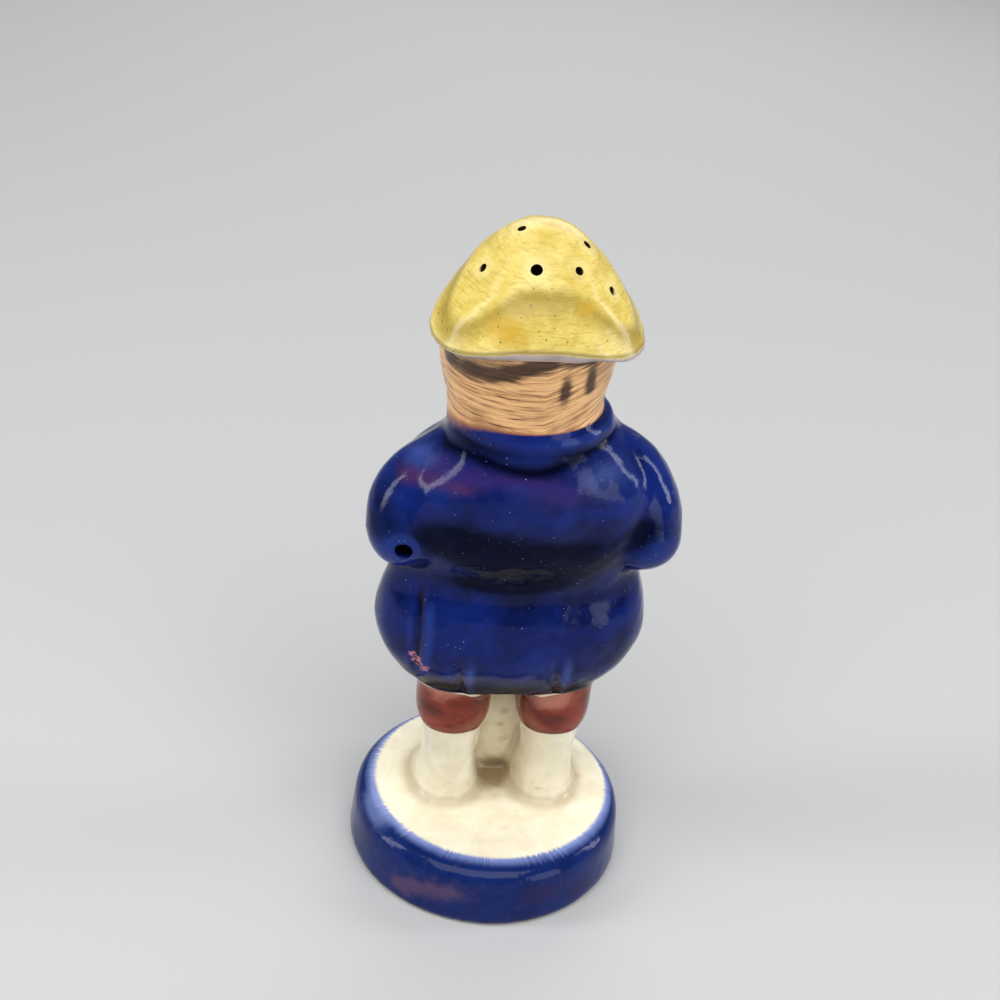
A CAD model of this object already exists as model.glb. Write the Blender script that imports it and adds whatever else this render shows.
# A hand-painted figural salt shaker: a glazed figure in a cocked hat, seen from behind
import math

import bmesh
import bpy
import numpy as np
from mathutils import Matrix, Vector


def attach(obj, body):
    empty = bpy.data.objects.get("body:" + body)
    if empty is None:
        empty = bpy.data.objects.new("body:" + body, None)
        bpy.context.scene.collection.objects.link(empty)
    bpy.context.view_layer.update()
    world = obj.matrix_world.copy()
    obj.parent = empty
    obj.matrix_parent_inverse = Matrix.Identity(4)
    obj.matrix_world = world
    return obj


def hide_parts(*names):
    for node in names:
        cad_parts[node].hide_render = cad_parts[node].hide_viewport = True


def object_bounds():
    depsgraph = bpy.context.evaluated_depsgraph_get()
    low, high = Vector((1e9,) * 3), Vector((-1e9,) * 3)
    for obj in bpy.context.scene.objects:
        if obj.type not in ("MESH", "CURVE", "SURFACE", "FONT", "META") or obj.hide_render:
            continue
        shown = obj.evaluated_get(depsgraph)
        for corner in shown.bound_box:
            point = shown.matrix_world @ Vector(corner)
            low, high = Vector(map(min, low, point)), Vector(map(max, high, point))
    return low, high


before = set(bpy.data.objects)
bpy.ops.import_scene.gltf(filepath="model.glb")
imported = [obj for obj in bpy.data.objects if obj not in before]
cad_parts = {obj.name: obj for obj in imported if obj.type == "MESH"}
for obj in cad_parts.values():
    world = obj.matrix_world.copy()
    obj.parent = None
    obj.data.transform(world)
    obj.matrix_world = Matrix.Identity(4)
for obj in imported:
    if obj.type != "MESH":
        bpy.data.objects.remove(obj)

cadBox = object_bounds()
mm = 0.001  # every size below is in millimetres unless a note says otherwise

# The lumps are drawn in units of their own, with heights counted up from the top of the base
form = {
    "baseHeight": 10.5,
    "drawnHeight": 98.6,
    "voxel": 0.54,
    "softPasses": 11, "hatPasses": 14,
}
baseTop = form["baseHeight"]
unit = (cadBox[1][2] / mm - baseTop) / form["drawnHeight"]


def above(height):
    return baseTop + height * unit


# Surfaces worked out as grids of points


def smoothRows(stations, steps):
    # Catmull-Rom curve: each span is a cubic through its two ends, leaning on their neighbours
    rows = np.array(stations, float)
    ends = np.vstack([2 * rows[0] - rows[1], rows, 2 * rows[-1] - rows[-2]])
    t = (np.arange(steps) / steps)[None, :, None]
    p0, p1, p2, p3 = (ends[i : len(ends) - 3 + i][:, None, :] for i in range(4))
    curve = p1 + (p2 - p0) * t / 2
    curve = curve + (2 * p0 - 5 * p1 + 4 * p2 - p3) * t * t / 2
    curve = curve + (3 * (p1 - p2) + p3 - p0) * t**3 / 2
    return np.vstack([curve.reshape(-1, rows.shape[1]), rows[-1:]])


def roundAngles(count):
    return np.arange(count) * 2 * math.pi / count


def normed(vectors):
    return vectors / np.linalg.norm(vectors, axis=-1, keepdims=True)


def ovalPlan(count, power):
    # Superellipse: |x|^power + |y|^power = 1, walked round by angle
    angle = roundAngles(count)
    x, y = np.cos(angle), np.sin(angle)
    return np.sign(x) * np.abs(x) ** (2 / power), np.sign(y) * np.abs(y) ** (2 / power)


def gridOf(x, y, z):
    return np.stack(np.broadcast_arrays(x, y, z), axis=-1)


def columnGrid(piece, steps=8, around=96, inset=0.0):
    # Rows of height, half width, back and front become ovals stacked up the z axis
    rows = smoothRows(piece["stations"], steps)
    x, y = ovalPlan(around, piece["power"])
    wide = rows[:, 1:2] * unit - inset
    deep = (rows[:, 2:3] + rows[:, 3:4]) * unit / 2 - inset
    centre = (rows[:, 2:3] - rows[:, 3:4]) * unit / 2
    high = above(rows[:, 0:1] - sunk(piece, rows[:, 0:1], x))
    return gridOf(piece["middle"] + wide * x, centre + deep * y, high)


def sunk(piece, height, share):
    # How far a coat's shoulder sinks on the figure's left, where share runs from -1 to 1
    if "drop" not in piece:
        return 0.0
    return piece["drop"] * np.interp(height, piece["dropSpan"], (0, 1)) * (1 + share) / 2


def limbGrid(points, steps=6, around=48, capRings=8):
    # A round tube along a curve of x, y, z and radius, closed by two half balls
    rows = smoothRows(points, steps)
    path, radius = rows[:, :3] * unit, rows[:, 3:4] * unit
    along = normed(np.gradient(path, axis=0))
    cap = np.radians(np.linspace(85, 12, capRings))[:, None]
    low, high = np.sin(cap), np.sin(cap[::-1])
    centre = [path[0] - along[0] * radius[0] * low, path, path[-1] + along[-1] * radius[-1] * high]
    centre = np.vstack(centre)
    size = np.vstack([radius[0] * np.cos(cap), radius, radius[-1] * np.cos(cap[::-1])])
    along = np.vstack([np.repeat(along[:1], capRings, 0), along, np.repeat(along[-1:], capRings, 0)])
    side = normed(np.cross(along, (0.0, 1.0, 0.15)))[:, None]
    front = np.cross(along[:, None], side)
    angle = roundAngles(around)[None, :, None]
    grid = centre[:, None] + (np.cos(angle) * side + np.sin(angle) * front) * size[:, None]
    return grid + (0.0, 0.0, baseTop)


def eggGrid(place, radii, rings=24, around=40):
    # A ball stretched three ways
    tilt = np.radians(np.linspace(-87, 87, rings))[:, None]
    angle = roundAngles(around)[None]
    grid = gridOf(np.cos(tilt) * np.cos(angle), np.cos(tilt) * np.sin(angle), np.sin(tilt))
    return (np.array(place) + np.array(radii) * grid) * unit + (0.0, 0.0, baseTop)


def turnedGrid(profile, around=160):
    # A profile of radius and height swept round the z axis
    radius, high = np.array(profile, float).T[:, :, None]
    angle = roundAngles(around)
    return gridOf(radius * np.cos(angle), radius * np.sin(angle), high)


def arcPoints(centre, radius, start, end, count):
    angle = np.radians(np.linspace(start, end, count))
    return np.stack([centre[0] + radius * np.cos(angle), centre[1] + radius * np.sin(angle)], 1)


def rodGrid(start, end, radius, around=32):
    # A straight round bar between two points
    start, end = np.array(start, float), np.array(end, float)
    along = normed(end - start)
    side = normed(np.cross(along, (0.31, 0.95, 0.05)))
    angle = roundAngles(around)[:, None]
    loop = np.cos(angle) * side + np.sin(angle) * np.cross(along, side)
    return np.stack([start + loop * radius, end + loop * radius])


def meshFromGrids(name, grids):
    # Each grid becomes a closed skin: quads between its rings and a flat cap at each end
    points, faces, first = [], [], 0
    for grid in grids:
        rings, around = grid.shape[:2]
        index = np.arange(rings * around).reshape(rings, around) + first
        beside = np.roll(index, -1, axis=1)
        quads = np.stack([index[:-1], beside[:-1], beside[1:], index[1:]], axis=-1)
        points.append(grid.reshape(-1, 3))
        faces += quads.reshape(-1, 4).tolist()
        faces += [index[0, ::-1].tolist(), index[-1].tolist()]
        first += rings * around
    mesh = bpy.data.meshes.new(name)
    mesh.from_pydata((np.vstack(points) * mm).tolist(), [], faces)
    shape = bmesh.new()
    shape.from_mesh(mesh)
    bmesh.ops.recalc_face_normals(shape, faces=shape.faces)
    shape.to_mesh(mesh)
    shape.free()
    return putObject(name, mesh)


def putObject(name, data):
    obj = bpy.data.objects.new(name, data)
    bpy.context.scene.collection.objects.link(obj)
    return obj


def applied(obj):
    # The object's mesh with its modifiers worked in
    graph = bpy.context.evaluated_depsgraph_get()
    mesh = bpy.data.meshes.new_from_object(obj.evaluated_get(graph))
    obj.modifiers.clear()
    obj.data = mesh
    return obj


def remeshed(obj, voxel):
    join = obj.modifiers.new("join", "REMESH")
    join.mode = "VOXEL"
    join.voxel_size = voxel * mm
    return applied(obj)


def readPoints(mesh):
    points = np.empty(len(mesh.vertices) * 3, np.float32)
    mesh.vertices.foreach_get("co", points)
    return points.reshape(-1, 3).astype(float) / mm


def writePoints(mesh, points):
    mesh.vertices.foreach_set("co", (points * mm).astype(np.float32).ravel())
    mesh.update()


def readNormals(mesh):
    normals = np.empty(len(mesh.vertices) * 3, np.float32)
    mesh.vertex_normals.foreach_get("vector", normals)
    return normals.reshape(-1, 3).astype(float)


def meshLinks(mesh):
    # The two ends of every edge, and how many neighbours each point has
    ends = np.empty(len(mesh.edges) * 2, np.int32)
    mesh.edges.foreach_get("vertices", ends)
    a, b = ends.reshape(-1, 2).T
    return a, b, np.bincount(ends, minlength=len(mesh.vertices))


def aroundMean(links, values):
    # The mean of a value over each point's neighbours
    a, b, count = links
    return (np.bincount(a, values[b], len(values)) + np.bincount(b, values[a], len(values))) / count


def middles(links, points):
    return np.stack([aroundMean(links, points[:, i]) for i in range(3)], axis=1)


def softened(mesh, passes, share):
    # Every pass moves each point a share of the way to the middle of its neighbours
    links, points = meshLinks(mesh), readPoints(mesh)
    share = share(points)[:, None] if callable(share) else share
    for _ in range(passes):
        points = points + share * (middles(links, points) - points)
    writePoints(mesh, points)


def waves(points, size, count, seed):
    # Smooth unevenness: a sum of plane waves in random directions, from about -1 to 1
    rng = np.random.default_rng(seed)
    aim = normed(rng.normal(size=(count, 3)))
    length = size * rng.uniform(0.7, 1.6, count)
    turn = rng.uniform(0, 2 * math.pi, count)
    return np.sin(points @ (aim * 2 * math.pi / length[:, None]).T + turn).sum(1) / math.sqrt(count)


def step(value, low, high):
    # 0 below low, 1 above high, and an easy slope between
    t = np.clip((value - low) / (high - low), 0, 1)
    return t * t * (3 - 2 * t)


def bell(value, middle, width):
    # 1 at the middle, falling off softly on both sides
    return np.exp(-(((value - middle) / width) ** 2))


# The lumps that make up the figure

coat = {
    "middle": -0.5,
    "power": 2.35,
    "drop": 1.6,
    "dropSpan": (54, 66),
    "stations": (
        (22.8, 12.6, 5.6, 7.2), (23.3, 14.3, 6.3, 7.9), (25.6, 17, 7.7, 9.3),
        (29.2, 19.4, 9.2, 10.4), (34, 20.6, 10, 11.2), (38.4, 20.1, 9.5, 10.9),
        (42.4, 18.8, 8, 9.9), (46.2, 18.2, 9, 10.4), (52, 19.2, 11.4, 11.6),
        (58.5, 19.3, 12.8, 12), (63, 17.3, 12.6, 11.4), (66.4, 13.5, 11.9, 10.6),
        (69, 11.8, 10.8, 9.8),
    ),
}
collar = {
    "middle": 0,
    "power": 2.05,
    "stations": (
        (65.6, 12.1, 11.6, 10.4), (68.2, 11.9, 11.4, 10.2),
        (71, 11.6, 11, 9.9), (71.7, 11.3, 10.7, 9.6),
    ),
}
head = {
    "middle": 1.3,
    "power": 2.05,
    "stations": (
        (66, 10.5, 10.2, 9.4), (72, 10.9, 10.3, 9.8),
        (79, 12, 10.9, 10.2), (85.6, 12.9, 11.2, 10.4),
    ),
}
leg = {
    "offset": -0.9,
    "spread": 7.8,
    "power": 2.2,
    "stations": (
        (-0.8, 5.2, 4.5, 9.4), (1.6, 5.1, 4.5, 9), (3.6, 4.7, 4.3, 6.6), (6.4, 4.3, 4.2, 5.2),
        (9.4, 4.2, 4.3, 4.8), (13, 4.7, 4.7, 4.9), (17, 5.2, 5, 5.1), (24, 5.4, 5.1, 5.4),
    ),
}
breeches = {
    "power": 2.2,
    "stations": (
        (14.2, 4.4, 4.4, 4.6), (14.7, 5.2, 5, 5.3), (16.4, 5.8, 5.4, 5.9),
        (20, 5.9, 5.6, 6.1), (25, 6, 5.6, 6.2),
    ),
}
scroll = {
    "middle": -0.5 - 1.3 * unit,
    "power": 2.6,
    "stations": (
        (-0.8, 2.6, -4.2, 6.6), (0.8, 3.1, -3.7, 7.4), (2.4, 3.5, -3.3, 7.9),
        (12, 3.5, -3.6, 8.4), (24, 3.7, -5, 11.6), (34, 4.6, -8, 14),
        (44, 5.6, -8, 14.3), (49, 6, -8, 14.9), (50, 5.6, -8.6, 14.4),
    ),
}
hat = {
    "middle": 0.8,
    "back": -0.6,
    "heart": 88,  # the pour holes point here
    "brim": 85.1,
    "droop": 1.7,
    "thickness": 0.7,
    "brimSide": 12.8,
    "brimCorner": 16.1,
    "flapSide": (93.2, 9),
    "flapCorner": (87.4, 14),
    "hollow": 0.35,
    "crown": (
        (86, 11.8), (90.4, 9.9), (92.4, 8.8), (94.4, 7.5),
        (96.3, 5.9), (97.6, 4), (98.3, 2.1), (98.6, 0.4),
    ),
}
arms = {
    "middle": -0.5,
    "leftDrop": 1.6,
    "upper": ((11, 0.8, 62.4, 5.8), (14.4, 1.3, 59.6, 6.4), (16.6, 2.4, 55.2, 6.4), (17.3, 3.4, 52.2, 6)),
    "fore": ((17.2, 1.8, 51.2, 5.4), (15.6, -5.4, 49.8, 4.9), (11, -11.6, 49.6, 4.6)),
    "cuff": ((13, -9.8, 49.3, 5.3), (11.2, -11.6, 49.5, 5.5)),
    "hand": ((9.8, -12.9, 49.8, 3.4), (6.6, -14.2, 49.6, 3)),
}
faceMiddle = 1.3
face = {
    "front": ((0, -3, 76.4), (8.4, 9.4, 10.4)),
    "nose": ((0, -12.4, 77.6, 0.8), (0, -13, 75.8, 1.1), (0, -12.9, 74.8, 1.2)),
    "chin": ((0, -9.9, 69.2), (2.8, 2, 1.7)),
    "neckcloth": ((0, -10.6, 64.6), (3.4, 2.4, 3.8)),
    "knot": ((0, -10.9, 67.4), (3, 1.8, 1.8)),
    "hair": ((8.6, -5.2, 84, 2.9), (8.9, -5.6, 77, 3.1), (8.2, -5.6, 71.4, 2.7)),
    "pairs": (  # brow, lid, cheek and nostril: place and size
        ((3.2, -10.9, 79.7), (2.3, 1.3, 0.9)), ((3.2, -10.95, 77.6), (1.7, 1.2, 1)),
        ((4.4, -9.4, 73.8), (2.6, 2, 2.4)), ((0.9, -12.5, 74.6), (0.9, 0.9, 0.8)),
    ),
    "lips": (((0, -11.2, 72.65), (2.2, 1, 0.5)), ((0, -11.1, 71.7), (1.8, 1.1, 0.6))),
    "painted": {  # place aside and up, half width, half height, bow
        "eye": (3.2, 77.6, 1.25, 0.62, 0),
        "pupil": (3.2, 77.6, 0.5, 0.55, 0),
        "brow": (3.2, 80.1, 1.9, 0.35, 0.12),
        "lip": (0, 72.2, 1.9, 0.95, 0),
        "cheek": (4.6, 73.6, 2.6, 2, 0),
    },
    "paintedFrom": 5,  # features are painted only where -y is above this
}
base = {"radius": 22.9, "taper": 0.6, "shoulder": 2.8, "foot": 0.8}
creamDisc = {"middle": (-0.7, -1.6), "radius": 19.4, "below": 0.3, "spread": 1.4}  # what the blue leaves free
hem = coat["stations"][0][0]


sides = (1, -1)  # the figure's left and right


def shifted(points, side=1, middle=0.0, drop=0.0):
    return [(middle / unit + side * p[0], p[1], p[2] - drop, *p[3:]) for p in points]


def hatPlan(angle):
    # Three corners, from a cosine of three times the angle. For each direction: how near it is to a
    # corner, the brim's reach and height, and the reach and height of the flap's edge
    corner = 0.5 + 0.5 * np.cos(3 * (angle + math.pi / 2))
    brim = hat["brimSide"] + (hat["brimCorner"] - hat["brimSide"]) * corner
    rim = hat["brim"] - hat["droop"] * corner**1.5
    (sideHigh, side), (cornerHigh, out) = hat["flapSide"], hat["flapCorner"]
    edge = side + (out - side) * corner**2.2
    edgeHigh = sideHigh + (cornerHigh - sideHigh) * corner**2.2
    return corner, brim, rim, edge, edgeHigh


def hatGrid(around=240, inset=0.0, hollow=1.0):
    # Rows from under the rim, up the flap to its edge, and on over the crown
    angle = roundAngles(around)
    corner, brim, rim, edge, edgeHigh = hatPlan(angle)
    crown = smoothRows(hat["crown"], 12)
    top = crown[-1, 0] - inset / unit
    proud = edge - np.interp(edgeHigh, crown[:, 0], crown[:, 1])
    share = np.linspace(0, 1, 24)[:, None]
    flap = brim + (edge - brim) * share - hollow * hat["hollow"] * np.sin(math.pi * share)
    flapHigh = rim + (edgeHigh - rim) * share
    share = np.linspace(0, 1, 40)[1:, None]
    over = edgeHigh + (top - edgeHigh) * share
    radii = np.interp(over + inset / unit * share, crown[:, 0], crown[:, 1])
    radii = radii + proud * np.exp(-(over - edgeHigh) / (0.9 + 3.2 * corner))
    reach = np.maximum(np.vstack([brim * 0.965, flap, radii]) * unit - inset, 0.3)
    heights = np.vstack([rim - hat["thickness"], flapHigh, over])
    x, y = hat["middle"] + reach * np.cos(angle), hat["back"] * unit + reach * np.sin(angle)
    return gridOf(x, y, above(heights))


def baseGrid():
    top = base["radius"] - base["taper"] - base["shoulder"]
    shoulder = arcPoints((top, baseTop - base["shoulder"]), base["shoulder"], 90, 0, 14)
    foot = arcPoints((base["radius"] - base["foot"], base["foot"]), base["foot"], 0, -90, 6)
    return turnedGrid(np.vstack([[(0.01, baseTop)], shoulder, foot, [(0.01, 0.0)]]), 200)


def legPiece(piece, side):
    return {**piece, "middle": leg["offset"] + side * leg["spread"] * unit}


def figureGrids():
    grids = [baseGrid(), hatGrid(), columnGrid(coat, 8, 180), columnGrid(collar, 6, 140)]
    grids += [columnGrid(head, 6, 140), columnGrid(scroll, 6, 60)]
    for side in sides:
        grids += [columnGrid(legPiece(leg, side), 6, 64), columnGrid(legPiece(breeches, side), 6, 64)]
        for name in ("upper", "fore", "cuff", "hand"):
            grids.append(limbGrid(armPoints(name, side)))
        grids += [limbGrid(fingerPoints(side, i), 4, 24) for i in range(4)]
        grids.append(limbGrid(shifted(face["hair"], side, faceMiddle)))
        grids += [eggGrid(*shiftedEgg(egg, side)) for egg in face["pairs"]]
    grids.append(limbGrid(shifted(face["nose"], 1, faceMiddle)))
    grids += [eggGrid(*shiftedEgg(egg)) for egg in (face["chin"], *face["lips"])]
    grids += [eggGrid(*face["knot"]), eggGrid(*face["neckcloth"])]
    return grids


def shiftedEgg(egg, side=1):
    (x, y, z), radii = egg
    return (faceMiddle / unit + side * x, y, z), radii


# The cavity and the holes

hollow = {
    "wall": 2.2, "floor": 2.6, "channelWide": 4.6, "channelDeep": 5.0, "mouthMargin": 0.4,
    "neckDip": 2.5, "underHat": 2.6, "crownShare": 0.9, "voxel": 0.7,
    "hole": 0.65, "largeHole": 0.85,
    "pit": 1.3, "pitLong": 4.6, "pitMouth": (16.9, 5.7, 50.6), "pitWay": (0.25, 0.94, 0.25),
}
pourHoles = (
    (22, 93, "hole"), (76, 94.8, "largeHole"), (122, 94.6, "hole"),
    (150, 91.2, "hole"), (14, 97.9, "hole"), (160, 96.5, "hole"),
)
mouthRadius = hollow["mouthMargin"] + math.hypot(
    leg["spread"] * unit + abs(leg["offset"]) + hollow["channelWide"] / 2, hollow["channelDeep"] / 2
)


def cavityGrids():
    wall, floor = hollow["wall"], hollow["floor"]
    top = baseTop - wall
    wide = base["radius"] - base["taper"] - wall
    corner = min(base["shoulder"], (top - floor) / 2)
    bend = arcPoints((wide - corner, top - corner), corner, 90, 0, 6)
    chamber = np.vstack([[(0.01, top)], bend, [(wide, floor), (0.01, floor)]])
    mouth = ((mouthRadius, floor + wall / 2), (mouthRadius, -floor))
    grids = [turnedGrid(chamber, 64), turnedGrid(mouth, 64)]
    x, y = ovalPlan(32, 6.0)
    for side in sides:
        high = np.array((baseTop - wall * 1.5, above(hem) + wall * 1.5))[:, None]
        middle = legPiece(leg, side)["middle"]
        grids.append(gridOf(middle + x * hollow["channelWide"] / 2, y * hollow["channelDeep"] / 2, high))
    low, high = hem + wall / unit, coat["stations"][-1][0]
    inside = np.array(coat["stations"][1:], float)
    inside[:, 0] = low + (inside[:, 0] - inside[0, 0]) * (high - low) / (high - inside[0, 0])
    grids.append(columnGrid({**coat, "stations": inside}, 2, 48, wall))
    rows = head["stations"]
    crown = [hat["brim"] + hollow["underHat"], *(hollow["crownShare"] * v for v in rows[-1][1:])]
    neck = [(high - hollow["neckDip"], *rows[0][1:]), *rows[1:-1], crown]
    grids.append(columnGrid({**head, "stations": neck}, 2, 48, wall))
    grids.append(hatGrid(48, wall, 0.0)[8:])
    return grids


def holePlaces():
    # Skin point, direction out of the crown and radius of each pour hole
    inside = np.array((hat["middle"], hat["back"] * unit, above(hat["heart"])))
    for angle, height, size in pourHoles:
        column = hatGrid(360)[:, angle]
        skin = np.array([np.interp(above(height), column[:, 2], column[:, i]) for i in range(3)])
        yield skin, normed(skin - inside), hollow[size]


def pitPlace():
    start = np.array(hollow["pitMouth"]) * unit + (coat["middle"], 0, baseTop)
    return start, start + np.array(hollow["pitWay"]) * hollow["pitLong"]


# Where each lump ends, as a rough distance to its skin: below zero inside it


def columnDistance(piece, points):
    rows = smoothRows(piece["stations"], 8)
    x, y, z = points.T
    height = (z - baseTop) / unit
    wide = np.interp(height, rows[:, 0], rows[:, 1]) * unit
    height = height + sunk(piece, height, np.clip((x - piece["middle"]) / wide, -1, 1))
    half, back, front = (np.interp(height, rows[:, 0], rows[:, i]) * unit for i in (1, 2, 3))
    deep, centre, power = (back + front) / 2, (back - front) / 2, piece["power"]
    reach = np.abs((x - piece["middle"]) / half) ** power + np.abs((y - centre) / deep) ** power
    side = (reach ** (1 / power) - 1) * np.minimum(half, deep)
    return np.maximum(side, np.maximum(above(rows[0, 0]) - z, z - above(rows[-1, 0])))


def limbDistance(limb, points):
    rows = smoothRows(limb, 4) * unit
    found = np.full(len(points), 99.0)
    for x, y, z, radius in rows:
        centre = np.array((x, y, z + baseTop))
        found = np.minimum(found, np.linalg.norm(points - centre, axis=1) - radius)
    return found


def eggDistance(egg, points):
    place, radii = np.array(egg[0], float), np.array(egg[1], float)
    away = (points - place * unit - (0, 0, baseTop)) / (radii * unit)
    return (np.linalg.norm(away, axis=1) - 1) * radii.min() * unit


def hatRim(points):
    # Towards each point: the rim's height, the brim's reach, the point's reach, the flap's height
    x, y = points[:, 0] - hat["middle"], points[:, 1] - hat["back"] * unit
    _, brim, rim, _, edgeHigh = hatPlan(np.arctan2(y, x))
    return above(rim), brim * unit, np.hypot(x, y), above(edgeHigh)


def armPoints(name, side):
    points = arms[name]
    if side > 0 and name == "upper":
        points = [*shifted(points[:2], 1, 0, arms["leftDrop"]), *points[2:]]
    return shifted(points, side, arms["middle"])


def fingerPoints(side, i):
    high = 52.0 - i * 1.7
    finger = ((7.6, -16.0, high, 1.15), (4.9, -16.2, high - 0.2, 1.2), (3.4, -15.2, high - 0.3, 1.0))
    return shifted(finger, side, arms["middle"])


def zoneDistances(points):
    # The distance to each painted zone
    x, y, z = points.T
    rim, brim, reach, _ = hatRim(points)

    def least(find, *pieces):
        return np.minimum.reduce([find(piece, points) for piece in pieces])

    hands = [armPoints("hand", s) for s in sides] + [fingerPoints(s, i) for s in sides for i in range(4)]
    skin = least(eggDistance, shiftedEgg(face["front"]), shiftedEgg(face["chin"]))
    hair = least(limbDistance, *(shifted(face["hair"], s, faceMiddle) for s in sides))
    sleeves = least(limbDistance, *(armPoints(name, s) for name in ("upper", "fore") for s in sides))
    return {
        "base": np.maximum(z - baseTop, np.hypot(x, y) - base["radius"]),
        "leg": least(columnDistance, *(legPiece(leg, s) for s in sides)),
        "breeches": least(columnDistance, *(legPiece(breeches, s) for s in sides)),
        "coat": np.minimum(columnDistance(coat, points), sleeves),
        "collar": columnDistance(collar, points),
        "cuff": least(limbDistance, *(armPoints("cuff", s) for s in sides)),
        "scroll": columnDistance(scroll, points),
        "skin": np.minimum(skin, least(limbDistance, shifted(face["nose"], 1, faceMiddle), *hands)),
        "hair": np.minimum(columnDistance(head, points), hair),
        "neckcloth": least(eggDistance, face["neckcloth"], face["knot"]),
        "hat": np.maximum(rim - hat["thickness"] * unit - z, reach - brim),
    }


def edgeOf(zones, *names):
    # Above zero where these zones are the nearest, below zero elsewhere
    inside = np.minimum.reduce([zones[n] for n in names])
    others = np.minimum.reduce([zones[n] for n in zones if n not in names])
    return others - inside


# Marks and wear, each a place and its size along x, y and z, all in millimetres
marks = {
    "deep": [  # thick dark glaze low on the back, under the arms and low on the breeches
        ((4, 11.7, 65), (9, 5, 4.6)), ((-3, 11, 62.5), (8, 5, 4.2)),
        ((11.5, 10.8, 67), (5, 4, 3.2)), ((-9, 11, 64.5), (5, 4, 3.8)),
        ((3, 8.6, 57.8), (10, 4, 2)), ((-17.6, 8, 68), (3.6, 4.5, 3.4)),
        ((21.7, 7.2, 68), (2.6, 3.5, 3)), ((-8, 5.6, 29), (3.4, 3, 1.6)),
        ((11.5, 4.3, 30.2), (2.8, 3, 1.4)),
    ],
    "purple": [
        ((13.4, 6.3, 77.3), (3, 3, 1.6)), ((9.4, 10.5, 77.5), (4, 3, 1.8)),
        ((2.5, 12.2, 78.6), (5, 3, 1.5)), ((-3.8, 12.7, 76.8), (4.5, 3, 2)),
    ],
    "ember": [
        ((18, 5.4, 74.9), (2.2, 3, 1.2)), ((14.6, 7.8, 75.6), (2.8, 3, 1.1)),
        ((10.8, 10.7, 76), (2, 3, 0.9)),
    ],
    "sheen": [
        ((17, 3.8, 77.4), (4.4, 4, 1.6)), ((-10, 10, 78.8), (4.6, 4, 2)),
        ((19.6, 4.2, 10.3), (2.2, 3.6, 1)), ((18.6, 7.8, 10.3), (2.2, 3, 1)),
        ((6.2, 8.6, 40.6), (0.9, 3, 3)), ((-8.9, 8.6, 41.5), (0.9, 3, 3)),
    ],
    "worn": [
        ((15.3, 7.2, 43.4), (0.7, 2, 0.9)), ((14.3, 7, 42.2), (0.8, 2, 1)),
        ((13.2, 7.6, 41), (0.7, 2, 0.8)),
    ],
    "soot": [  # a dark patch under the hat, smudges beside it and a faint one along the brim
        ((13.1, 4.2, 94.4), (1.7, 2.5, 1.7)), ((10.6, 8, 94.4), (1.9, 2.5, 1.6)),
        ((7.9, 9.8, 94.4), (1.8, 2.2, 1.5)), ((5.3, 10.9, 95.4), (1.8, 2.2, 1.5)),
        ((2.8, 11.5, 96.8), (1.6, 2.2, 1.5)), ((0.4, 11.6, 97.6), (1.4, 2.2, 1.4)),
        ((-2.7, 10.8, 92.8), (1, 2.2, 2.8)), ((-6.4, 9, 93.6), (1, 2.2, 2.8)),
        ((-5, 9.8, 97.6), (5, 3, 1.2)),
    ],
    "gold": [
        ((6.4, 10.8, 101.6), (3, 2.8, 2.6)), ((-2.9, 6.9, 108.6), (1.7, 2.2, 1.1)),
        ((-4.7, 9, 105), (1.7, 2.2, 1.3)),
    ],
    "thin": [
        ((10.6, 5.6, 35.8), (3.4, 3, 2.6)), ((6.5, 7, 36.2), (2, 2.4, 1.8)),
        ((-7.5, 5.6, 33.8), (3.6, 3, 2.4)),
    ],
    "tan": [
        ((-2.2, -3.8, 23.2), (1, 1.2, 0.7)), ((-1.6, -3.7, 20.3), (0.9, 1.2, 0.7)),
        ((-2.5, -3.6, 17.3), (0.9, 1.2, 0.7)), ((-15.6, -2, 10.7), (0.8, 1.2, 0.5)),
        ((-7.8, 4.4, 13.2), (0.7, 1, 0.5)),
    ],
    "shade": [((-0.6, -0.6, 10.4), (3.4, 2.8, 1.8)), ((-1.2, -3, 12), (3, 1.6, 1.8))],
    "brown": [
        ((15.2, 16.8, 3.6), (2.6, 3, 1.7)), ((12.2, 18.9, 5), (3, 3, 1.5)),
        ((8, 20.8, 6), (3.6, 3, 1.5)),
    ],
    "plum": [((-7, 21.3, 5.7), (4.2, 3, 2.2)), ((-14.3, 17.6, 3.4), (3.6, 3, 1.8))],
}

# Dents and pinholes in the hat's back: place, width and depth
dents = (
    ((-4.7, 10.1, 102.9), 0.9, 0.35), ((13, 5.5, 102.2), 0.45, 0.3),
    ((2.4, 10.2, 103.9), 0.4, 0.25), ((-8.4, 8.6, 100.6), 0.4, 0.2),
)


def blots(points, places):
    total = np.zeros(len(points))
    for place, size in places:
        away = (points - np.array(place)) / np.array(size)
        total += np.exp(-(away**2).sum(1))
    return total


def nearHoles(points):
    # For each pour hole: how far along its axis and how far beside it each point is, and its radius
    for skin, out, radius in holePlaces():
        along = (points - skin) @ out
        yield along, np.linalg.norm(points - skin - along[:, None] * out, axis=1), radius


def holeShades(points):
    # How deep each point lies in a pour hole, and how near to a hole's edge, from 0 to 1
    depth, halo = np.full(len(points), -1.0), np.zeros(len(points))
    for along, beside, radius in nearHoles(points):
        depth = np.where(beside < radius + 0.12, np.maximum(depth, -along), depth)
        halo = np.maximum(halo, 1 - np.abs(beside - radius) / 0.5 - np.abs(along) / 2)
    return depth, halo


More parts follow.
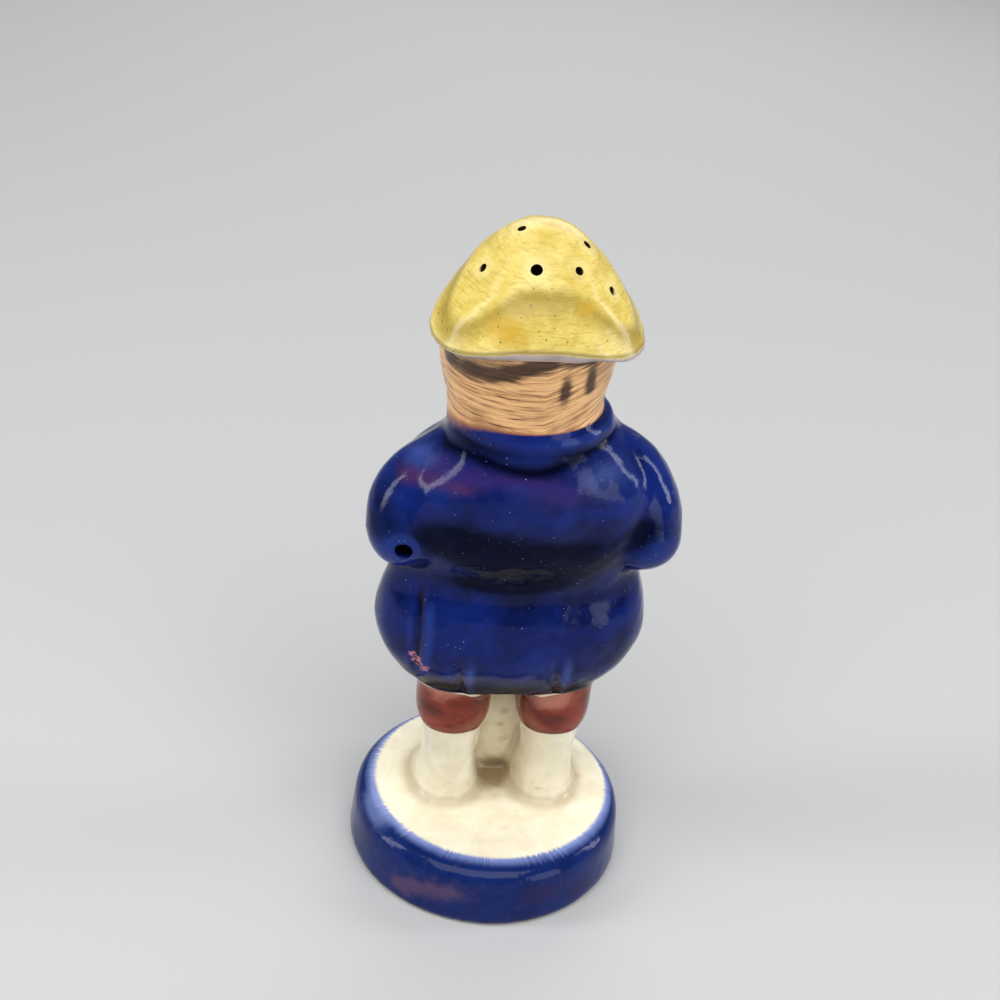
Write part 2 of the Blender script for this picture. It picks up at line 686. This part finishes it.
relief = {
    "coatWaves": ((9, 10, 3, 0.12), (3.6, 14, 5, 0.03)),  # length, count, seed, height
    "hatWaves": (4.5, 12, 11, 0.07),
    "vent": ((14.6, 0.6, -0.5, 42), (13, 1, 0.25, 44)),  # place, width, height, full from here up
    "ventEnds": (38, 52, 57),
    "slits": ((8.2, 0.11), (-6.6, 0.15)),  # place and lean
    "slitHeights": (41, 45, 46),
    "slit": ((0, 0.5, -0.45), (-1.4, 0.8, 0.2)),  # offset, width and height of the cut and its lip
    "collar": (0.8, 0.35),  # width and depth
    "flap": ((0, 1, 0.15), (-4.6, 2.6, 0.7)),  # rolled edge, and the flap bulging under it
    "holeDip": (0.45, 0.22),  # width beyond the hole, and depth
}


def carve(mesh):
    # Grooves, dents and the slight unevenness of a hand-finished casting
    points, normals = readPoints(mesh), readNormals(mesh)
    x, y, z = points.T
    zones = zoneDistances(points)
    coatShare = step(edgeOf(zones, "coat", "collar", "cuff"), -0.5, 0.8)
    hatShare = step(edgeOf(zones, "hat"), -0.3, 0.5)
    behind = step(y, -1.0, 2.0) * coatShare
    rise = sum(high * waves(points, *wave) for *wave, high in relief["coatWaves"])
    rise *= (0.25 + 0.75 * coatShare) * step(z, baseTop + 0.5, baseTop + 3.5)
    rise -= 0.12 * step(np.abs(x - coat["middle"]), 20.0, 23.5)  # stay inside the CAD box at the sides
    ventLow, ventHigh, ventEnd = relief["ventEnds"]
    for place, wide, high, full in relief["vent"]:
        run = step(z, ventLow, full) * (1 - step(z, ventHigh, ventEnd)) * behind
        rise += high * bell(x, place, wide) * run
    slitLow, slitMiddle, slitEnd = relief["slitHeights"]
    run = (1 - step(z, slitLow, slitEnd)) * behind
    for place, lean in relief["slits"]:
        for offset, wide, high in relief["slit"]:
            rise += high * bell(x, place + (z - slitMiddle) * lean + offset, wide) * run
    wide, deep = relief["collar"]
    crease = bell(zones["collar"], zones["coat"], wide) * step(y, 1.0, 7.0)
    rise -= deep * crease * step(zones["hat"], 2.0, 4.0)
    edge = hatRim(points)[3]
    roll = sum(high * bell(z - edge, offset, wide) for offset, wide, high in relief["flap"])
    roll *= step(edge, above(88.0), above(92.0))
    rise += roll * hatShare * step(z, 96.0, 99.0)
    for place, wide, deep in dents:
        rise -= deep * bell(np.linalg.norm(points - np.array(place), axis=1), 0.0, wide)
    wide, deep = relief["holeDip"]
    for along, beside, radius in nearHoles(points):
        rise -= deep * bell(beside, 0.0, radius + wide) * (np.abs(along) < 2)
    *wave, high = relief["hatWaves"]
    rise += high * waves(points, *wave) * hatShare
    writePoints(mesh, points + normals * rise[:, None])


def creases(mesh, passes=8):
    # Above zero in hollows and below zero on ridges, from how each point lies to its neighbours
    links, points = meshLinks(mesh), readPoints(mesh)
    bend = ((middles(links, points) - points) * readNormals(mesh)).sum(1)
    for _ in range(passes):
        bend = 0.4 * bend + 0.6 * aroundMean(links, bend)
    return bend


def paintZones(mesh):
    # The painter's zones as one number per point, which the glaze reads
    points = readPoints(mesh)
    x, y, z = points.T
    zones = zoneDistances(points)
    rim, _, _, flap = hatRim(points)
    depth, halo = holeShades(points)
    discX, discY = creamDisc["middle"]
    painted = np.hypot(x - discX, y - discY) - creamDisc["radius"]
    painted += creamDisc["spread"] * np.maximum(baseTop - creamDisc["below"] - z, 0)
    found = {
        "hatRise": z - rim - 0.45 * step(-x, 4.0, 13.0),
        "flapRise": z - flap,
        "boreDeep": depth,
        "halo": halo,
        "coatEdge": edgeOf(zones, "coat", "collar", "cuff"),
        "hemRise": z - above(hem) - 0.45,
        "rimEdge": np.where(z < baseTop + 0.5, painted, -5.0),
        "crease": creases(mesh),
        "seam": bell(zones["collar"], zones["coat"], 0.4) * step(y, 0.0, 5.0),
        **{name + "Edge": edgeOf(zones, name) for name in ("hat", "hair", "breeches", "skin")},
        **{name + "Mark": blots(points, places) for name, places in marks.items()},
    }
    across = np.abs(x - faceMiddle) / unit
    for name, (aside, high, wide, tall, bow) in face["painted"].items():
        up = (z - baseTop) / unit - high + bow * (across - aside) ** 2
        inside = 1 - np.hypot((across - aside) / wide, up / tall)
        found[name] = np.where(-y > face["paintedFrom"], inside, -1.0)
    for name, values in found.items():
        attribute = mesh.attributes.new(name, "FLOAT", "POINT")
        attribute.data.foreach_set("value", values.astype(np.float32))


# Shader helpers: each adds one node and returns the socket that carries its result


def putNode(tree, kind, inputs=(), output=0, **settings):
    node = tree.nodes.new("ShaderNode" + kind)
    for name, value in settings.items():
        setattr(node, name, value)
    for key, value in dict(inputs).items():
        if isinstance(value, bpy.types.NodeSocket):
            tree.links.new(value, node.inputs[key])
        else:
            node.inputs[key].default_value = value
    return node.outputs[output]


def calc(tree, operation, a, b=0.0, c=0.0):
    return putNode(tree, "Math", {0: a, 1: b, 2: c}, operation=operation)


def scaled(tree, value, share, more=0.0):
    return calc(tree, "MULTIPLY_ADD", value, share, more)


def blend(tree, share, a, b, kind="MIX"):
    return putNode(
        tree, "Mix", {0: share, 6: a, 7: b}, 2, data_type="RGBA", blend_type=kind, clamp_factor=True
    )


def slope(tree, value, low, high, start=0.0, end=1.0):
    return putNode(
        tree, "MapRange",
        {"Value": value, "From Min": low, "From Max": high, "To Min": start, "To Max": end},
        interpolation_type="SMOOTHSTEP",
    )


def cloud(tree, vector, scale, detail=3.0, rough=0.55, warp=0.0):
    return putNode(
        tree, "TexNoise",
        {"Vector": vector, "Scale": scale, "Detail": detail, "Roughness": rough, "Distortion": warp},
    )


def stretched(tree, vector, scale, turn=(0.0, 0.0, 0.0)):
    return putNode(tree, "Mapping", {"Vector": vector, "Scale": scale, "Rotation": turn})


def objectPlace(tree):
    # Object coordinates in millimetres
    where = putNode(tree, "TexCoord", output="Object")
    return putNode(tree, "VectorMath", {0: where, "Scale": 1000.0}, operation="SCALE")


def tone(red, green, blue):
    # A screen colour as the linear colour that Blender wants
    share = np.array((red, green, blue)) / 255
    linear = np.where(share > 0.04045, ((share + 0.055) / 1.055) ** 2.4, share / 12.92)
    return (*linear.tolist(), 1.0)


def surfaceGroup():
    # Clouded tone, small specks and a fine uneven skin, shared by every finish here
    group = bpy.data.node_groups.new("firedSurface", "ShaderNodeTree")
    group.interface.new_socket("Place", in_out="INPUT", socket_type="NodeSocketVector")
    for name in ("Cloud Size", "Speck Size", "Speck Share", "Speck Reach"):
        group.interface.new_socket(name, in_out="INPUT", socket_type="NodeSocketFloat")
    for name in ("Cloud", "Speck", "Skin"):
        group.interface.new_socket(name, in_out="OUTPUT", socket_type="NodeSocketFloat")
    inside = group.nodes.new("NodeGroupInput")
    place = inside.outputs["Place"]
    big = cloud(group, place, calc(group, "DIVIDE", 1.0, inside.outputs["Cloud Size"]), 4.0, 0.6, 0.4)
    cells = putNode(
        group, "TexVoronoi",
        {"Vector": place, "Scale": calc(group, "DIVIDE", 1.0, inside.outputs["Speck Size"])}, feature="F1",
    ).node
    lot = putNode(group, "SeparateColor", {0: cells.outputs["Color"]}).node
    varied = scaled(group, lot.outputs["Green"], 0.9, 0.4)
    reach = scaled(group, varied, inside.outputs["Speck Reach"])
    ragged = scaled(group, cloud(group, place, 5.0, 2.0), 0.1, -0.05)
    near = calc(group, "SUBTRACT", reach, calc(group, "ADD", cells.outputs["Distance"], ragged))
    chosen = calc(group, "LESS_THAN", lot.outputs["Red"], inside.outputs["Speck Share"])
    speck = scaled(group, slope(group, near, -0.03, 0.03), chosen)
    skin = scaled(group, cloud(group, place, 1.6, 2.0), 0.25, cloud(group, place, 0.35, 2.0))
    out = group.nodes.new("NodeGroupOutput")
    for name, socket in (("Cloud", slope(group, big, 0.3, 0.7)), ("Speck", speck), ("Skin", skin)):
        group.links.new(socket, out.inputs[name])
    return group


def firedSurface(tree, group, place, cloudSize, speckSize, speckShare, speckReach=0.12):
    node = tree.nodes.new("ShaderNodeGroup")
    node.node_tree = group
    tree.links.new(place, node.inputs["Place"])
    sizes = {"Cloud Size": cloudSize, "Speck Size": speckSize, "Speck Share": speckShare}
    for name, value in {**sizes, "Speck Reach": speckReach}.items():
        node.inputs[name].default_value = value
    return [node.outputs[name] for name in ("Cloud", "Speck", "Skin")]


def newFinish(name):
    material = bpy.data.materials.new(name)
    material.use_nodes = True
    tree = material.node_tree
    return material, tree, tree.nodes["Principled BSDF"]


def linkFinish(tree, shader, colour, rough, height, strength, distance):
    bump = putNode(tree, "Bump", {"Height": height, "Strength": strength, "Distance": distance})
    for name, socket in (("Base Color", colour), ("Roughness", rough), ("Normal", bump)):
        tree.links.new(socket, shader.inputs[name])


# Each glaze is a mix of two tones, then layers: what steers it, its share, where its edge lies and
# how loose that edge is, and its tone. A layer without an edge takes what steers it as it is
glazes = {
    "cream": (
        ("cloudy", (232, 221, 190), (246, 238, 214)),
        ("pooled", 0.5, (176, 154, 116)), ("tanMark", 0.45, 0.1, 1, 2.4, (190, 152, 98)),
        ("shadeMark", 0.8, 0.1, 1, 0.8, (132, 106, 66)),
    ),
    "cobalt": (
        ("thick", (2, 12, 60), (6, 29, 102)),
        ("cloudy", 0.3, (22, 42, 116)), ("purpleMark", 0.6, 0, 1.2, 0.8, (58, 38, 100)),
        ("emberMark", 0.5, 0, 1.1, 0.8, (88, 44, 66)), ("deep", 1, (1, 4, 24)),
        ("sheenMark", 0.32, 0, 1.2, 0.8, (96, 118, 196)), ("pooled", 0.85, (3, 6, 28)),
        ("worn", 0.3, (48, 76, 168)), ("speck", 0.6, (150, 160, 206)),
        ("chipped", 1, (178, 116, 132)),
    ),
    "red": (
        ("cloudy", (92, 26, 12), (134, 46, 28)),
        ("thinMark", 0.85, 0.05, 0.7, 0.8, (186, 122, 102)),
        ("deepMark", 0.8, 0.2, 0.85, 0.8, (62, 16, 8)), ("pooled", 0.8, (52, 12, 6)),
        ("worn", 0.4, (182, 104, 84)),
    ),
    "hair": (
        ("lightStroke", (182, 132, 86), (238, 188, 130)),
        ("broad", 0.45, 0.5, 0.65, 0, (138, 92, 62)), ("brush", 0.85, 0.46, 0.36, 0, (88, 60, 44)),
        ("soot", 0.93, 0.15, 0.8, 0, (54, 34, 24)), ("collarLine", 0.75, 0.5, 0.15, 0, (150, 78, 44)),
    ),
    "flesh": (
        ("cloudy", (232, 186, 154), (240, 202, 172)),
        ("cheek", 0.6, 0, 0.9, 0, (214, 124, 104)), ("lip", 1, -0.05, 0.12, 0, (168, 62, 54)),
        ("eye", 1, -0.05, 0.1, 0, (242, 238, 226)), ("pupil", 1, -0.05, 0.15, 0, (40, 28, 22)),
        ("brow", 1, -0.1, 0.3, 0, (92, 60, 40)),
    ),
    "yellow": (
        ("cloudy", (212, 184, 84), (235, 214, 120)),
        ("patches", 0.5, 0.5, 0.66, 0, (206, 170, 66)), ("sweep", 0.5, 0.5, 0.34, 0, (184, 150, 60)),
        ("olive", 0.7, (150, 126, 46)), ("goldMark", 0.75, 0.1, 1, 0.8, (198, 158, 40)),
        ("pooled", 0.4, (140, 112, 46)), ("worn", 0.25, (249, 238, 176)),
        ("dots", 0.75, (92, 72, 36)), ("halo", 0.2, 0.3, 0.95, 0, (244, 234, 196)),
        ("boreDeep", 1, 0.05, 0.5, 0, (44, 30, 14)), ("brimLine", 0.55, (112, 90, 44)),
    ),
    "band": (("cloudy", (164, 148, 142), (196, 180, 174)),),
    "rim": (
        ("rimTone", (128, 146, 206), (10, 30, 86)),
        ("cloudy", 0.3, (28, 52, 122)), ("plumMark", 0.6, 0.2, 0.85, 0.8, (38, 24, 70)),
        ("brownMark", 0.6, 0, 1.1, 1.4, (98, 72, 96)),
        ("sheenMark", 0.4, 0, 1.2, 0.8, (140, 158, 212)),
    ),
}


class Paint:
    # Sockets that steer the glazes, by name; a name that isn't among them is read from the mesh
    def __init__(self, tree, group):
        self.tree, self.place = tree, objectPlace(tree)
        self.cloudy, self.speck, self.skin = firedSurface(tree, group, self.place, 5.0, 1.1, 0.7, 0.065)
        self.dots = firedSurface(tree, group, self.place, 2.0, 1.0, 0.75, 0.13)[1]
        self.wobble = scaled(tree, self.noise(0.7, 4.0), 0.8)
        self.broad = cloud(tree, self.place, 0.09, 4.0, 0.6, 0.5)
        self.pooled = self.level("crease", 0.002, 0.02)
        self.worn = self.level("crease", -0.004, -0.022)
        self.addCoat()
        self.addHair()
        self.addHat()
        self.addRim()

    def read(self, name):
        if hasattr(self, name):
            return getattr(self, name)
        return putNode(self.tree, "Attribute", output="Fac", attribute_name=name)

    def noise(self, scale, detail, rough=0.55):
        return calc(self.tree, "SUBTRACT", cloud(self.tree, self.place, scale, detail, rough), 0.5)

    def level(self, name, low=None, high=None, loose=0.0, share=1.0):
        value = self.read(name)
        if loose:
            value = scaled(self.tree, self.wobble, loose, value)
        if low is None:
            return scaled(self.tree, value, share)
        return slope(self.tree, value, low, high, 0.0, share)

    def zone(self, name, low=-0.12, high=0.12, loose=0.3):
        return self.level(name, low, high, loose)

    def glaze(self, name):
        (source, dark, light), *layers = glazes[name]
        colour = blend(self.tree, self.read(source), tone(*dark), tone(*light))
        for source, share, *edge, shade in layers:
            colour = blend(self.tree, self.level(source, *edge, share=share), colour, tone(*shade))
        return colour

    def addCoat(self):
        # Chipped spots, and glaze that runs thick at the hem, at the seam and in the marked places
        tree = self.tree
        flaky = scaled(tree, self.noise(1.6, 4.0, 0.7), 3.2, self.read("wornMark"))
        self.chipped = scaled(tree, slope(tree, flaky, 0.6, 0.72), self.level("wornMark", 0.1, 0.3))
        low, marked = self.level("hemRise", 6.0, 1.8), self.level("deepMark", 0.05, 0.8, 0.8, 0.92)
        self.deep = calc(tree, "MAXIMUM", calc(tree, "MAXIMUM", low, marked), self.read("seam"))
        self.thick = self.level("broad", 0.35, 0.65)

    def addHair(self):
        # Strokes that are level on the figure's left and climb on its right, and a rust line
        tree = self.tree
        across = putNode(tree, "SeparateXYZ", {0: self.place})
        climb = scaled(tree, calc(tree, "MINIMUM", across, 0.0), 0.35)
        climb = putNode(tree, "CombineXYZ", {2: climb})
        leaning = putNode(tree, "VectorMath", {0: self.place, 1: climb}, operation="ADD")
        broadly = stretched(tree, leaning, (0.14, 0.14, 1.9), (0.03, 0.05, 0.0))
        finely = stretched(tree, leaning, (0.3, 0.3, 6.5), (0.05, -0.04, 0.0))
        broadly = scaled(tree, cloud(tree, broadly, 1.0, 5.0, 0.62, 0.35), 0.6)
        self.brush = scaled(tree, cloud(tree, finely, 1.0, 3.0, 0.6), 0.4, broadly)
        self.lightStroke = self.level("brush", 0.42, 0.57)
        dark = calc(tree, "SUBTRACT", 0.5, self.brush)
        self.soot = scaled(tree, dark, 1.3, self.read("sootMark"))
        self.collarLine = calc(tree, "ABSOLUTE", self.level("hairEdge", loose=0.3))

    def addHat(self):
        # Clouds and sweeps of the brush, olive and dots under the flap's edge, a line above the rim
        tree = self.tree
        brushed = stretched(tree, self.place, (0.5, 0.5, 3.4), (0.3, 0.6, 0.0))
        self.patches = cloud(tree, self.place, 0.2, 4.0, 0.65)
        self.sweep = cloud(tree, brushed, 1.0, 3.0, 0.6)
        self.dots = scaled(tree, self.dots, self.zone("flapRise", 1.5, -1.0, 2.0))
        flap = (self.zone("flapRise", -5.4, -1.3, 2.0), self.zone("flapRise", 0.7, -1.5, 2.0))
        rise = (self.zone("hatRise", 0.0, 0.25, 0.5), self.zone("hatRise", 0.85, 0.4, 0.5))
        self.olive, self.brimLine = scaled(tree, *flap), scaled(tree, *rise)

    def addRim(self):
        # How far inside the blue of the base, brushed over its edge in short strokes
        tree = self.tree
        flat = putNode(tree, "VectorMath", {0: self.place, 1: (1.0, 1.0, 0.0)}, operation="MULTIPLY")
        ring = putNode(tree, "VectorMath", {0: flat}, operation="NORMALIZE")
        bristle = calc(tree, "SUBTRACT", cloud(tree, ring, 90.0, 2.0, 0.5), 0.5)
        patchy = slope(tree, cloud(tree, ring, 3.0, 2.0), 0.42, 0.6, 0.3, 2.4)
        self.rimReach = scaled(tree, bristle, patchy, self.read("rimEdge"))
        self.rimTone = self.level("rimReach", 0.2, 2.4)


def paintedGlaze(group):
    material, tree, shader = newFinish("paintedGlaze")
    paint = Paint(tree, group)
    cream = paint.glaze("cream")
    rim = paint.zone("hatRise", -0.05, 0.12, 0.5)
    hatColour = blend(tree, rim, paint.glaze("band"), paint.glaze("yellow"))
    coatColour = blend(tree, paint.zone("hemRise", -0.08, 0.08, 0.15), cream, paint.glaze("cobalt"))
    high = putNode(tree, "SeparateXYZ", {0: paint.place}, 2)
    colour = cream
    for share, shade in (
        (paint.zone("breechesEdge"), paint.glaze("red")),
        (paint.level("rimReach", -0.25, 0.55), paint.glaze("rim")),
        (paint.zone("coatEdge", -0.4, -0.2), coatColour),
        (paint.zone("hairEdge", -0.1, 0.25), paint.glaze("hair")),
        (paint.zone("skinEdge"), paint.glaze("flesh")),
        (paint.zone("hatEdge", -0.08, 0.08, 0.05), hatColour),
        (slope(tree, high, 0.5, 0.25), tone(206, 196, 176)),  # bare clay underneath
    ):
        colour = blend(tree, share, colour, shade)
    rough, hairy, blue = 0.09, paint.zone("hairEdge"), paint.zone("coatEdge")
    for share, more in (
        (hairy, 0.22), (paint.zone("hatEdge"), 0.12), (paint.chipped, 0.4), (paint.cloudy, 0.05),
    ):
        rough = scaled(tree, share, more, rough)
    # The blue glaze mirrors less of the pale room, and least where it is thick
    shine = scaled(tree, calc(tree, "MAXIMUM", blue, paint.level("rimReach", 0.5, 2.5)), -0.14, 0.3)
    shine = scaled(tree, scaled(tree, paint.deep, blue), -0.12, shine)
    tree.links.new(shine, shader.inputs["Specular IOR Level"])
    shader.inputs["IOR"].default_value = 1.5
    ridges = scaled(tree, scaled(tree, paint.brush, hairy), 0.5)
    height = scaled(tree, paint.speck, -0.1, calc(tree, "ADD", paint.skin, ridges))
    linkFinish(tree, shader, colour, rough, height, 0.35, 0.00025)
    return material


# Unpainted finishes: sizes for the shared surface, two tones, strength and tone of the specks,
# roughness from the clouds, and the bump's strength and depth
plainFinishes = {
    "bareClay": {
        "surface": (4, 0.9, 0.5), "tones": ((196, 184, 162), (222, 212, 192)),
        "specks": (0.4, (120, 96, 70)), "rough": (0.15, 0.7), "bump": (0.4, 0.0002),
    },
    "plugRubber": {
        "surface": (3, 0.7, 0.45), "tones": ((176, 168, 150), (198, 190, 172)),
        "specks": (0.5, (110, 100, 84)), "rough": (0.12, 0.5), "bump": (0.3, 0.0002),
    },
}


def plainFinish(name, group):
    look = plainFinishes[name]
    material, tree, shader = newFinish(name)
    cloudy, speck, skin = firedSurface(tree, group, objectPlace(tree), *look["surface"])
    share, dark = look["specks"]
    colour = blend(tree, cloudy, *(tone(*shade) for shade in look["tones"]))
    colour = blend(tree, scaled(tree, speck, share), colour, tone(*dark))
    linkFinish(tree, shader, colour, scaled(tree, cloudy, *look["rough"]), skin, *look["bump"])
    return material


def makeFigure(glaze, clay):
    figure = meshFromGrids("glazedFigure", figureGrids())
    remeshed(figure, form["voxel"])
    print("figure joined:", len(figure.data.vertices), "points")

    def soft(points):
        # The carved face and the hat's edges stay crisper than coat and legs
        _, y, z = points.T
        crisp = step(z, 82, 86) * step(-y, 6, 9) + 0.3 * step(z, 95, 98)
        return 0.55 - 0.4 * np.clip(crisp, 0, 1)

    softened(figure.data, form["softPasses"], soft)
    carve(figure.data)
    softened(figure.data, form["hatPasses"], lambda points: 0.5 * step(points[:, 2], 97.5, 99.5))
    print("figure carved")
    cavity = remeshed(meshFromGrids("cavity", cavityGrids()), hollow["voxel"])
    softened(cavity.data, 2, 0.5)
    cavity.data.polygons.foreach_set("material_index", [1] * len(cavity.data.polygons))
    cutters = [cavity]
    for i, (skin, out, radius) in enumerate(holePlaces()):
        rod = rodGrid(skin + out * hollow["wall"], skin - out * hollow["wall"] * 1.6, radius)
        cutters.append(meshFromGrids(f"pourHole{i}", [rod]))
    cutters.append(meshFromGrids("pit", [rodGrid(*pitPlace(), hollow["pit"])]))
    for obj in (figure, *cutters):
        obj.data.materials.append(glaze)
        obj.data.materials.append(clay)
    for i, cutter in enumerate(cutters):
        cut = figure.modifiers.new(f"cut{i}", "BOOLEAN")
        cut.operation = "DIFFERENCE"
        cut.solver = "MANIFOLD"
        cut.object = cutter
    applied(figure)
    for cutter in cutters:
        bpy.data.objects.remove(cutter)
    mesh = figure.data
    paintZones(mesh)
    mesh.shade_smooth()
    mesh.set_sharp_from_angle(angle=math.radians(50))
    mesh.calc_loop_triangles()
    print("figure hollowed:", len(mesh.loop_triangles), "triangles")
    return figure


stopper = {"thick": 2.4, "recess": 0.5, "bevel": 0.4, "rim": 3.2, "dish": 0.9, "gap": 0.3}


def makeStopper(rubber):
    plug, low, edge, dish = mouthRadius - stopper["gap"], stopper["recess"], stopper["bevel"], stopper["dish"]
    high, flat = low + stopper["thick"], plug - stopper["rim"]
    profile = np.vstack([
        [(0.01, high)],
        arcPoints((plug - edge, high - edge), edge, 90, 0, 6),
        arcPoints((plug - edge, low + edge), edge, 0, -90, 6),
        [(flat + 0.2, low), (flat - 0.1, low + 0.12)],
        [(flat - dish + 0.12, low + dish - 0.1), (flat - dish - 0.2, low + dish)],
        [(1.6, low + dish), (1.3, low + dish - 0.35), (0.01, low + dish - 0.4)],
    ])
    obj = meshFromGrids("stopperPlug", [turnedGrid(profile, 96)])
    obj.data.materials.append(rubber)
    obj.data.shade_smooth()
    obj.data.set_sharp_from_angle(angle=math.radians(35))
    return obj


surface = surfaceGroup()
clay = plainFinish("bareClay", surface)
figure = makeFigure(paintedGlaze(surface), clay)
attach(figure, "root")
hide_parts("shaker_figure")
plug = makeStopper(plainFinish("plugRubber", surface))
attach(plug, "root")
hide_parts("stopper")
print("pieces placed")


# Floor, camera and light
def makeFloor(size=2.0):
    mesh = bpy.data.meshes.new("floor")
    corners = [(x * size, y * size, 0) for x, y in ((-1, -1), (1, -1), (1, 1), (-1, 1))]
    mesh.from_pydata(corners, [], [(0, 1, 2, 3)])
    material, _, shader = newFinish("paleFloor")
    shader.inputs["Base Color"].default_value = tone(196, 196, 196)
    shader.inputs["Roughness"].default_value = 0.85
    mesh.materials.append(material)
    putObject("floor", mesh)


def turned(obj, right, over, ahead, place):
    matrix = np.eye(4)
    matrix[:3] = np.stack([right, over, -ahead, place], axis=1)
    obj.matrix_world = Matrix(matrix.tolist())


view = {
    "turn": 171,  # degrees from the figure's +X to the picture's right
    "pitch": 32.7, "roll": 6.26, "distance": 273.2, "aimAcross": -3.1, "aimHigh": 67.14,
    "lens": 64.8, "sensor": 36, "near": 0.01,
}


def makeCamera():
    turn, pitch, roll = (math.radians(view[k]) for k in ("turn", "pitch", "roll"))
    high = np.array((0, 0, 1.0))
    right = np.array((math.cos(turn), math.sin(turn), 0))
    away = np.array((-math.sin(turn), math.cos(turn), 0))
    ahead = away * math.cos(pitch) - high * math.sin(pitch)
    up = away * math.sin(pitch) + high * math.cos(pitch)
    place = (right * view["aimAcross"] + high * view["aimHigh"] - ahead * view["distance"]) * mm
    across = math.cos(roll) * right + math.sin(roll) * up
    over = -math.sin(roll) * right + math.cos(roll) * up
    data = bpy.data.cameras.new("camera")
    data.lens, data.sensor_width, data.clip_start = view["lens"], view["sensor"], view["near"]
    obj = putObject("camera", data)
    turned(obj, across, over, ahead, place)
    bpy.context.scene.camera = obj


lamps = (
    # name, place in metres, size, watts, colour
    ("overhead", (0.05, 0.25, 0.55), (0.6, 0.45), 2.9, (1.0, 0.98, 0.95)),
    ("leftPanel", (0.46, 0.02, 0.26), (0.10, 0.40), 1.1, (0.93, 0.96, 1.0)),
    ("rightPanel", (-0.48, -0.02, 0.22), (0.08, 0.34), 0.7, (0.93, 0.96, 1.0)),
    ("lowPanel", (-0.31, 0.33, 0.13), (0.20, 0.30), 0.6, (0.88, 0.93, 1.0)),
    ("frontFill", (-0.1, -0.5, 0.35), (0.5, 0.4), 1.2, (1.0, 0.97, 0.93)),
)
lampAim = (0, 0, 0.06)
air = {"Color": (0.8, 0.85, 0.92, 1), "Strength": 0.28}


def makeLights():
    for name, place, size, watts, colour in lamps:
        data = bpy.data.lights.new(name, "AREA")
        data.shape = "RECTANGLE"
        data.size, data.size_y = size
        data.energy, data.color = watts, colour
        ahead = normed(np.array(lampAim) - np.array(place))
        right = normed(np.cross(ahead, (0, 0, 1)))
        turned(putObject(name, data), right, np.cross(right, ahead), ahead, place)
    world = bpy.data.worlds.new("studio")
    world.use_nodes = True
    for name, value in air.items():
        world.node_tree.nodes["Background"].inputs[name].default_value = value
    scene = bpy.context.scene
    scene.world = world
    scene.view_settings.view_transform = "Standard"


makeFloor()
makeCamera()
makeLights()
print("scene ready")
